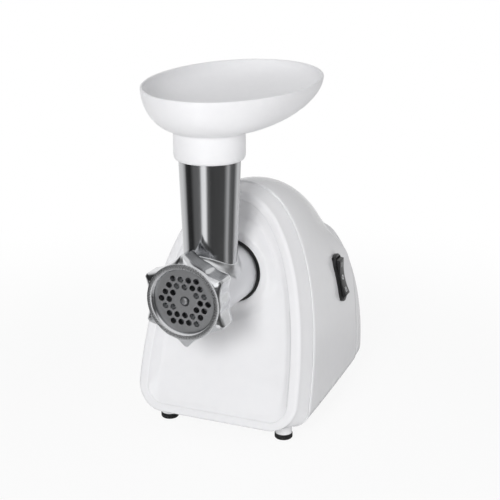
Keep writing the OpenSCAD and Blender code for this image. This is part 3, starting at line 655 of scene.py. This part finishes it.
def rear_cover():
    def hump(a, top, rc, base, roof, y):
        """The cover's outline: an arch under a low crowned roof."""
        ring = []
        for x, z in arch(a, top, rc, base):
            if z > 60:
                cap = roof - 0.005 * x * x
                h = min(max(0.5 + 0.5 * (cap - z) / 5, 0), 1)
                z = mix(cap, z, h) - 5 * h * (1 - h)
            ring.append((x, y, z))
        return ring

    bend = 9               # depth of the round edge at the back
    rings = [hump(67.1, 155.8, 16.4, BASE_H + 0.7, 145.3, DOME_Y + 0.5),
             hump(67.6, 156.3, 16.8, BASE_H + 0.2, 145.8, DOME_Y + 0.8),
             hump(67.8, 156.5, 17, BASE_H, 146, DOME_Y + 1.3)]
    for k in (1, 2, 3):
        s = k / 3
        rings.append(hump(mix(67.8, 66.8, s), mix(156.5, 155.5, s), 17, BASE_H,
                          mix(146, 145.5, s), mix(DOME_Y + 1.3, BACK_Y - bend, s)))
    for k in range(1, 11):
        t = math.radians(9 * k)
        d = 1 - math.cos(t)
        rings.append(hump(66.8 - 6.8 * d, 155.5 - 8.5 * d, 17 - 5 * d, BASE_H + 6 * d,
                          145.5 - 6.5 * d, BACK_Y - bend + bend * math.sin(t)))
    rings.append(hump(40, 118, 9, BASE_H + 18, 118, BACK_Y))
    rings.append(hump(12, 60, 5, BASE_H + 30, 70, BACK_Y))
    inner = [hump(12, 60, 5, BASE_H + 30, 70, BACK_Y - WALL),
             hump(54, 142, 9, BASE_H + 8, 132, BACK_Y - WALL),
             hump(60, 147, 10, BASE_H + 5, 138, BACK_Y - 4.5),
             hump(63.5, 151, 12, BASE_H + WALL, 142, BACK_Y - bend),
             hump(65.2, 153.8, 14.5, BASE_H + WALL, 143.4, DOME_Y + 0.5)]
    cover = piece(skinned(inner + rings, joined=False, filled=("first", "last")), "back_cover",
                  "body", white_abs, ("rear_cover",))

    # two columns of vents with round ends
    vents = bmesh.new()
    size = Matrix.Diagonal((34 * MM, 30 * MM, 3 * MM, 1))
    for row in range(6):
        for side in (-1, 1):
            place = Matrix.Translation(Vector((side * 24, BACK_Y, 59.5 + 9 * row)) * MM)
            bmesh.ops.create_cube(vents, size=1, matrix=place @ size)
    through = [e for e in vents.edges
               if abs((e.verts[0].co - e.verts[1].co).normalized().y) > 0.9]
    bmesh.ops.bevel(vents, geom=through, offset=1.4 * MM, offset_type="OFFSET", segments=4,
                    profile=0.5, affect="EDGES", material=-1)
    cut(cover, vents)

    # the cord gland's hole and the four counterbored screw holes
    cut(cover, bar((0, 105, 32), (0, 120, 32), 6.1))
    counterbore = [(0.0, BACK_Y - 9), (1.7, BACK_Y - 9), (1.7, BACK_Y - 1.7),
                   (3.5, BACK_Y - 1.7), (3.5, BACK_Y + 5), (0.0, BACK_Y + 5)]
    for x, z in ((-36, 116), (36, 116), (-56, 44), (56, 44)):
        cut(cover, turned(counterbore, (x, 0, z), steps=32))


rear_cover()


# ------------------------------------------------------------------ hopper tray

def on_tube_axis(r, z):
    """A circle about the feed tube's axis; z is a height or a function of x."""
    ring = []
    for i in range(ROUND_STEPS):
        t = 2 * math.pi * i / ROUND_STEPS
        x, y = r * math.cos(t), r * math.sin(t)
        ring.append((x, TUBE_Y + y, z(x) if callable(z) else z))
    return ring


def oval(v, inset=0.0, lift=0.0):
    """Ring of the tray, from its collar (v = 0) to its rim (v = 1)."""
    throat, half_width, half_length, rim_y = 27, 66.2, 95.6, -19
    u = math.sqrt(max(1 - (1 - v) ** 2, 0))
    a, b = mix(throat, half_width, u) - inset, mix(throat, half_length, u) - inset
    yc, z = mix(TUBE_Y, rim_y, u), mix(TRAY_LOW, RIM_H, v) + lift
    return [(a * math.cos(t), yc + b * math.sin(t), z)
            for t in (2 * math.pi * i / ROUND_STEPS for i in range(ROUND_STEPS))]


def hopper_tray():
    # up the inside: the collar's socket, its stop, the throat and the bowl
    rings = [on_tube_axis(r, z) for r, z in (
        (25, 237.2), (25, 252.3), (21.8, 252.3), (21.5, 252.6), (21.5, 259.6), (22.0, 260.8),
        (23.4, 261.5))]
    steps = [0.05, 0.08, 0.12, 0.17, 0.23, 0.3, 0.38, 0.46, 0.54, 0.62, 0.7, 0.78, 0.85, 0.91,
             0.955]
    rings += [oval(v, TRAY_WALL, TRAY_WALL * (1 - v) * 1.1) for v in steps]
    rings.append([(x, y, RIM_H - 0.9) for x, y, _ in oval(1, TRAY_WALL)])
    # over the round rim, and down the outside to the collar's foot
    half = TRAY_WALL / 2
    for k in range(9):
        t = math.radians(180 * k / 8)
        rings.append(oval(1, half + half * math.cos(t), -half + half * math.sin(t)))
    rings += [oval(v) for v in reversed([0.02, 0.03] + steps)]
    rings += [on_tube_axis(r, z) for r, z in (
        (28.6, 258.8), (28.1, 258.1), (27.85, 257.2), (27.8, 256.0), (27.8, 248), (27.8, 240.6),
        (27.65, 239.0), (27.2, 237.6), (26.6, 236.7), (26.0, 236.35), (25.4, 236.4))]
    piece(skinned(rings), "tray_bowl", "tray", white_pp, ("hopper_tray",), sharp=60)


hopper_tray()


# ------------------------------------------------------------------ grinding head

def barrel():
    profile = rounded([
        (23, -106.5, 0.4), (28, -106.5, 0.5), (28, -97.5, 0.5), (BARREL_R, -97.5, 0.8),
        (BARREL_R, -14, 1.2), (11, -14, 0.5), (11, -20, 0.3), (23, -20, 2.0)])
    item = piece(turned(profile), "head_casting", "head", barrel_metal,
                 ("head_barrel",))
    cut(item, bar((0, TUBE_Y, AXIS_H), (0, TUBE_Y, AXIS_H + 40), TUBE_BORE, 96))
    for side, word in ((1, "right"), (-1, "left")):
        lug = bmesh.new()
        edges = loop_of(lug, [(r * side, y, AXIS_H) for r, y in rounded(
            [(24.4, -21, 0.3), (26.8, -21, 0.5), (26.8, -17, 0.5), (24.4, -17, 0.3)], 3)])
        bmesh.ops.rotate(lug, cent=(0, 0, AXIS_H * MM), verts=lug.verts[:],
                         matrix=Matrix.Rotation(math.radians(-15), 3, "Y"))
        arc_swept(lug, edges, math.radians(30), 16)
        piece(lug, "bayonet_lug_" + word, "head", barrel_metal)
    key = turned(rounded([(0, -109.3, 0), (1, -109.3, 0.3), (1, -105, 0), (0, -105, 0)], 3),
                 (0, 0, AXIS_H + 26), steps=24)
    piece(key, "plate_key", "head", shaft_steel)


barrel()


def feed_tube():
    def on_barrel(big, far):
        """Height of a cylinder of radius big over the barrel's axis, at x."""
        return lambda x: AXIS_H + math.sqrt(big ** 2 - min(abs(x), far) ** 2)

    def foot(r, lift):
        height = on_barrel(BARREL_R, 24.6)
        return on_tube_axis(r, lambda x: height(x) + lift)

    rings = [foot(TUBE_BORE, -0.4)]
    rings += [on_tube_axis(r, z) for r, z in (
        (TUBE_BORE, 251.2), (19.6, 251.8), (24.0, 252), (24.5, 251.6))]
    rings += [on_tube_axis(mix(24.2, 24.6, (z - 236) / 16), z) for z in (249, 244, 240, 236)]
    rings += [on_tube_axis(mix(21.2, 24.2, (z - 160) / 76), z)
              for z in (228, 218, 208, 198, 188, 178, 170, 164)]
    rings += [foot(21.1, 0.6), foot(21.1, -0.5)]
    piece(skinned(rings), "feed_tube_skin", "head", tube_steel, ("feed_tube",),
          sharp=50)

    # the casting rises round the tube's foot in a narrow bead with a hollow flare below it;
    # each pair is a radius about the tube and the radius of the cylinder it lies on
    bead = [(20.9, 24.5), (20.9, 27.8), (21.05, 28.4), (21.35, 28.6), (21.65, 28.45),
            (21.8, 28.1), (21.9, 27.5), (22.1, 26.8), (22.5, 26.1), (23.0, 25.6), (23.6, 25.25),
            (24.1, 25.05), (24.2, 24.5)]
    piece(skinned([on_tube_axis(r, on_barrel(big, 24.2)) for r, big in bead]), "tube_neck",
          "head", neck_metal, sharp=60)


feed_tube()


def ring_nut():
    count = 360            # points round the nut
    lobes = 60             # degrees from one ridge to the next
    flank = 9.5            # degrees from a ridge to the foot of its flank
    sweep = 12.5           # degrees of the hollow beyond it
    slope = 37.88          # how far out a flank's straight line starts
    ridge = 36.62          # how far out a ridge's narrow flat lies
    foot = slope / (math.cos(math.radians(flank)) + math.sin(math.radians(flank)))

    def lobed(y, shy=0.0, base=30.5):
        """Outline of the nut: six ridges with straight flanks and hollow sweeps between."""
        ring = []
        for i in range(count):
            t = abs((360 * i / count - 2) % lobes - lobes / 2)
            c, n = math.cos(math.radians(t)), math.sin(math.radians(t))
            if t < flank:
                r = min(slope / (c + n), ridge / c)
            else:
                r = base + (foot - base) * (1 - min((t - flank) / sweep, 1)) ** 2
            r -= shy * (r - 29.0) / 7.6
            angle = math.radians(360 * i / count)
            ring.append((r * math.cos(angle), y, AXIS_H + r * math.sin(angle)))
        return ring

    def hoop(r, y):
        return [(r * math.cos(t), y, AXIS_H + r * math.sin(t))
                for t in (2 * math.pi * i / count for i in range(count))]

    # the mouth's chamfer, the flat face, the lobes and their softened back, and the bore
    rings = [hoop(r, y) for r, y in (
        (25.25, -111.9), (25.25, -113.3), (25.4, -113.65), (26.5, -114.85), (26.8, NUT_FRONT),
        (29.9, NUT_FRONT), (30.3, -114.85), (30.4, -114.5))]
    rings += [lobed(-114.2, 5.6, 30.6), lobed(-113.6, 3.2, 30.8), lobed(-112.9, 1.1, 30.8),
              lobed(-112.4, 0.3, 30.7), lobed(-111.8)]
    rings += [lobed(y) for y in (-108, -104, -100, -96.2)]
    rings += [lobed(-95.5, 0.3), lobed(-95.1, 0.9), lobed(-95.0, 1.6)]
    rings += [hoop(28.4, -95), hoop(28.1, -95.3), hoop(28.1, -111.9)]
    piece(skinned(rings), "lobed_nut", "ring_nut", nut_metal, ("ring_nut",), sharp=28)


ring_nut()

softened("grinding_plate", "perforated_plate", "head", plate_steel, 0.25, sharp=16)
softened("knife", "four_arm_knife", "screw", knife_steel, 0.2, sharp=16)


def feed_screw():
    """Cast screw: a tapered core, three turns of flight, a square at each end, a domed pin."""
    def section(r, y, square=False):
        ring = []
        for i in range(CORE_STEPS):
            t = 2 * math.pi * i / CORE_STEPS
            a, b = math.cos(t), math.sin(t)
            k = r / max(abs(a), abs(b)) if square else r
            ring.append((k * a, y, AXIS_H + k * b))
        return ring

    rings = [section(5, -4, True), section(5, -13.6, True)]
    rings += [section(r, y) for r, y in (
        (8.5, -13.6), (8.5, -22), (13, -22), (12.9, -24), (9.1, -98.6), (8.2, -99.4),
        (7.4, -102.5))]
    rings += [section(4.5, -102.5, True), section(4.5, -106, True)]
    rings += [section(r, y) for r, y in (
        (3.94, -106), (3.94, -108.6), (2.8, -109), (2.75, -111.8), (2.4, -112.25),
        (1.5, -112.45), (0.6, -112.5))]
    item = piece(skinned(rings, joined=False, filled=("first", "last")), "screw_casting",
                 "screw", screw_metal, ("feed_screw",))
    flight = bmesh.new()
    edges = loop_of(flight, [(r, -22 + y, AXIS_H) for r, y in rounded(
        [(7, -2.4, 0), (22.5, -0.85, 0.5), (22.5, 0.85, 0.5), (7, 2.4, 0)], 3)])
    arc_swept(flight, edges, 6 * math.pi, 180, rise=-77)
    cut(item, flight, "UNION")


feed_screw()

seal = turned(rounded([(25.02, -30.7, 0.5), (26.9, -30.7, 0.9), (26.9, -27.6, 0.5),
                       (25.02, -27.6, 0.3)]))
piece(seal, "seal_ring", "head", seal_rubber, ("barrel_seal",))


# ------------------------------------------------------------------ switch, button and feet

def bezel():
    count = 16             # steps round each end

    def ends():
        """Angles round both ends, each with its end's sign."""
        for sign in (1, -1):
            for i in range(count + 1):
                yield sign, math.radians(180 * i / count) + (0 if sign > 0 else math.pi)

    def stadium(w, h, x):
        """The plate's outline: straight sides and half-round ends."""
        r = w / 2
        return [(x, r * math.cos(t), sign * (h / 2 - r) + r * math.sin(t)) for sign, t in ends()]

    def window(w, h, x):
        """The rocker's opening: a plain rectangle on the same points."""
        ring = []
        for sign, t in ends():
            y, z = math.cos(t), math.sin(t)
            k = max(abs(y), abs(z))
            ring.append((x, w / 2 * y / k, sign * (h / 2 - w / 2) + (w / 2) * z / k))
        return ring

    rings = [stadium(18, 42, -0.6), stadium(18, 42, 1.2), stadium(17.7, 41.7, 1.9),
             stadium(17.0, 41.0, 2.3), stadium(16.0, 40.0, 2.4), window(13.4, 36.2, 2.4),
             window(12.8, 35.6, 2.1), window(12.6, 35.4, 1.6), window(12.6, 35.4, -8.9)]
    bm = skinned(rings, joined=False, filled=("first", "last"))
    bmesh.ops.transform(bm, matrix=SWITCH, verts=bm.verts)
    piece(bm, "switch_bezel", "body", switch_nylon, ("switch_body",), sharp=45)


bezel()
softened("rocker", "switch_rocker", "rocker", switch_nylon, 0.5, segments=3)


def rocker_marks():
    """A bar, a ring and a double bar printed on the rocker's hollow face."""
    ink_depth = 0.12

    def face_x(z):
        """The hollow face, which is part of a cylinder of radius 60, and a hair over it."""
        return 63.6 - math.sqrt(60 ** 2 - z * z) + 0.03

    def strip(middle, width, height, name):
        left, right = middle - width / 2, middle + width / 2
        low, high = height - 2, height + 2
        bm = bmesh.new()
        verts = [bm.verts.new(Vector((face_x(z), y, z)) * MM)
                 for y, z in ((left, low), (right, low), (right, high), (left, high))]
        made = bmesh.ops.extrude_face_region(bm, geom=[bm.faces.new(verts)])
        moved = [g for g in made["geom"] if isinstance(g, bmesh.types.BMVert)]
        bmesh.ops.translate(bm, vec=(ink_depth * MM, 0, 0), verts=moved)
        bmesh.ops.transform(bm, matrix=SWITCH, verts=bm.verts)
        piece(bm, name, "rocker", mark_paint)

    strip(0, 1.0, 11, "mark_bar")
    strip(-1.2, 0.9, -11, "mark_pair_left")
    strip(1.2, 0.9, -11, "mark_pair_right")
    count = 32
    spokes = [2 * math.pi * i / count for i in range(count)]
    bm = skinned([[(face_x(r * math.sin(t)) + lift, r * math.cos(t), r * math.sin(t))
                   for t in spokes]
                  for r, lift in ((2.1, 0.0), (2.1, ink_depth), (1.3, ink_depth), (1.3, 0.0))])
    bmesh.ops.transform(bm, matrix=SWITCH, verts=bm.verts)
    piece(bm, "mark_ring", "rocker", mark_paint)


rocker_marks()


def lock_button():
    knob = rounded([
        (0, -32.4, 0), (5.2, -32.9, 0), (6, -32.7, 0.5), (6, -19.5, 0.2), (7.6, -19.5, 0.3),
        (7.6, -17.9, 0.3), (2.6, -17.9, 0.2), (2.6, -14.5, 0.5), (0, -14.5, 0)])
    piece(turned(knob, (KNOB[0], 0, KNOB[1]), steps=64), "lock_knob", "lock_button", white_abs,
          ("lock_button",))
    # the return spring stays on the body, on a mesh of its own
    coil = piece(merged("lock_spring"), "return_spring", "body", zinc_plate,
                 ("lock_spring",))
    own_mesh(coil)


lock_button()

for node in ("foot_front_left", "foot_front_right", "foot_rear_left", "foot_rear_right"):
    low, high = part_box(node)
    middle = (low + high) / 2 / MM
    pad = rounded([(0, 0, 0), (6.6, 0, 0.8), (7.4, 1.0, 0.8), (7.4, 4.6, 0.7), (2.5, 4.6, 0),
                   (2.5, 9.6, 0.4), (0, 9.6, 0)], 4)
    piece(turned(pad, (middle.x, middle.y, 0), (0, 0, 1), 64), node + "_pad", "body", foot_rubber,
          (node,))


# ------------------------------------------------------------------ floor, light and camera

def studio_floor():
    """White paper with the object's shadow, which fades into a plain white room."""
    ground = bmesh.new()
    bmesh.ops.create_circle(ground, cap_ends=True, segments=96, radius=9.0)
    mesh = bpy.data.meshes.new("studio_floor")
    ground.to_mesh(mesh)
    ground.free()
    floor = bpy.data.objects.new("studio_floor", mesh)
    scene.collection.objects.link(floor)
    floor.location.z = -0.3 * MM
    material = bpy.data.materials.new("white studio floor")
    material.use_nodes = True
    tree = material.node_tree
    tree.nodes.clear()
    path = put(tree, "ShaderNodeLightPath")
    paper = put(tree, "ShaderNodeBsdfDiffuse", {"Color": (0.9, 0.9, 0.9, 1)})
    glow = put(tree, "ShaderNodeEmission", {"Color": (1, 1, 1, 1), "Strength": 1.0})
    clear = put(tree, "ShaderNodeBsdfTransparent")
    where = put(tree, "ShaderNodeTexCoord")
    far = put(tree, "ShaderNodeVectorMath", {0: where.outputs["Object"]}, operation="LENGTH")
    # the camera sees paper near the object and plain white beyond 0.6 m
    reach = put(tree, "ShaderNodeMapRange", {
        "Value": far.outputs["Value"], "From Min": 0.2, "From Max": 0.6, "To Min": 0.9,
        "To Max": 1.0}, interpolation_type="SMOOTHSTEP")
    seen = put(tree, "ShaderNodeMath", {0: path.outputs["Is Camera Ray"], 1: reach.outputs[0]},
               operation="MULTIPLY")
    lit = put(tree, "ShaderNodeMixShader", {
        0: seen.outputs[0], 1: paper.outputs[0], 2: glow.outputs[0]})
    # beyond the object's foot a reflected ray leaves the paper and meets the room
    leave = put(tree, "ShaderNodeMapRange", {
        "Value": far.outputs["Value"], "From Min": 0.2, "From Max": 0.36})
    gone = put(tree, "ShaderNodeMath", {0: path.outputs["Is Glossy Ray"], 1: leave.outputs[0]},
               operation="MULTIPLY")
    blend = put(tree, "ShaderNodeMixShader", {
        0: gone.outputs[0], 1: lit.outputs[0], 2: clear.outputs[0]})
    put(tree, "ShaderNodeOutputMaterial", {"Surface": blend.outputs[0]})
    mesh.materials.append(material)


# The room that the metal mirrors: degrees about the object, 0 towards -Y and positive
# towards +X, and how bright its wall is there
BANDS = [(-180, 0.6), (-150, 0.95), (-98, 0.9), (-84, 0.6), (-73, 0.05), (-52, 0.03),
         (-38, 0.17), (-14, 0.2), (-5, 1.3), (8, 1.4), (16, 0.2), (28, 0.08), (82, 0.1),
         (99, 0.65), (110, 0.18), (130, 0.12), (154, 0.9), (180, 0.6)]


def studio_room():
    """A white background, soft grey light all round, and bright and dark walls for metal."""
    world = bpy.data.worlds.new("studio")
    scene.world = world
    world.use_nodes = True
    tree = world.node_tree
    tree.nodes.clear()
    path = put(tree, "ShaderNodeLightPath")
    where = put(tree, "ShaderNodeTexCoord")
    split = put(tree, "ShaderNodeSeparateXYZ", {0: where.outputs["Generated"]})
    facing = put(tree, "ShaderNodeMath", {0: split.outputs[1], 1: -1.0}, operation="MULTIPLY")
    turn = put(tree, "ShaderNodeMath", {0: split.outputs[0], 1: facing.outputs[0]},
               operation="ARCTAN2")
    share = put(tree, "ShaderNodeMapRange", {
        "Value": turn.outputs[0], "From Min": -math.pi, "From Max": math.pi})
    room = put(tree, "ShaderNodeValToRGB", {0: share.outputs[0]})
    ramp = room.color_ramp
    while len(ramp.elements) > 1:
        ramp.elements.remove(ramp.elements[-1])
    for number, (angle, level) in enumerate(BANDS):
        stop = ramp.elements.new((angle + 180) / 360) if number else ramp.elements[0]
        stop.position = (angle + 180) / 360
        stop.color = (level,) * 3 + (1,)
    # overhead the walls give way to a plain pale ceiling
    up = put(tree, "ShaderNodeMapRange", {
        "Value": split.outputs[2], "From Min": 0.25, "From Max": 0.6})
    mirrored = put(tree, "ShaderNodeMix", {
        0: up.outputs[0], 6: room.outputs[0], 7: (0.9, 0.9, 0.9, 1)}, data_type="RGBA")
    soft = put(tree, "ShaderNodeMix", {
        0: path.outputs["Is Glossy Ray"], 6: (0.31, 0.31, 0.315, 1), 7: mirrored.outputs[2]},
        data_type="RGBA")
    shown = put(tree, "ShaderNodeMix", {
        0: path.outputs["Is Camera Ray"], 6: soft.outputs[2], 7: (1, 1, 1, 1)},
        data_type="RGBA")
    back = put(tree, "ShaderNodeBackground", {"Color": shown.outputs[2], "Strength": 1.0})
    put(tree, "ShaderNodeOutputWorld", {"Surface": back.outputs[0]})


def softbox(name, place, power, size=1.2):
    """A square lamp aimed at the object, which lights it but isn't mirrored in the metal."""
    data = bpy.data.lights.new(name, "AREA")
    data.size = size
    data.energy = power
    item = bpy.data.objects.new(name, data)
    scene.collection.objects.link(item)
    item.location = place
    aim = Vector((0, 0, 0.15)) - Vector(place)
    item.rotation_euler = aim.to_track_quat("-Z", "Y").to_euler()
    item.visible_glossy = False


studio_floor()
studio_room()
softbox("front_softbox", (0.24, -1.7, 0.8), 16.5, 0.5)
softbox("right_softbox", (1.6, -0.2, 0.3), 6.4)
softbox("top_softbox", (0.1, 0.1, 1.6), 2.1)
softbox("left_softbox", (-1.5, -0.6, 0.8), 1.6)

scene.view_settings.view_transform = "Standard"
camera_data = bpy.data.cameras.new("camera")
camera_data.lens = 100.8
camera_data.sensor_width = 36
camera = bpy.data.objects.new("camera", camera_data)
scene.collection.objects.link(camera)
camera.location = (0.4464, -1.0091, 0.4955)
camera.rotation_euler = (math.radians(72.3), 0, math.radians(23.6))
scene.camera = camera
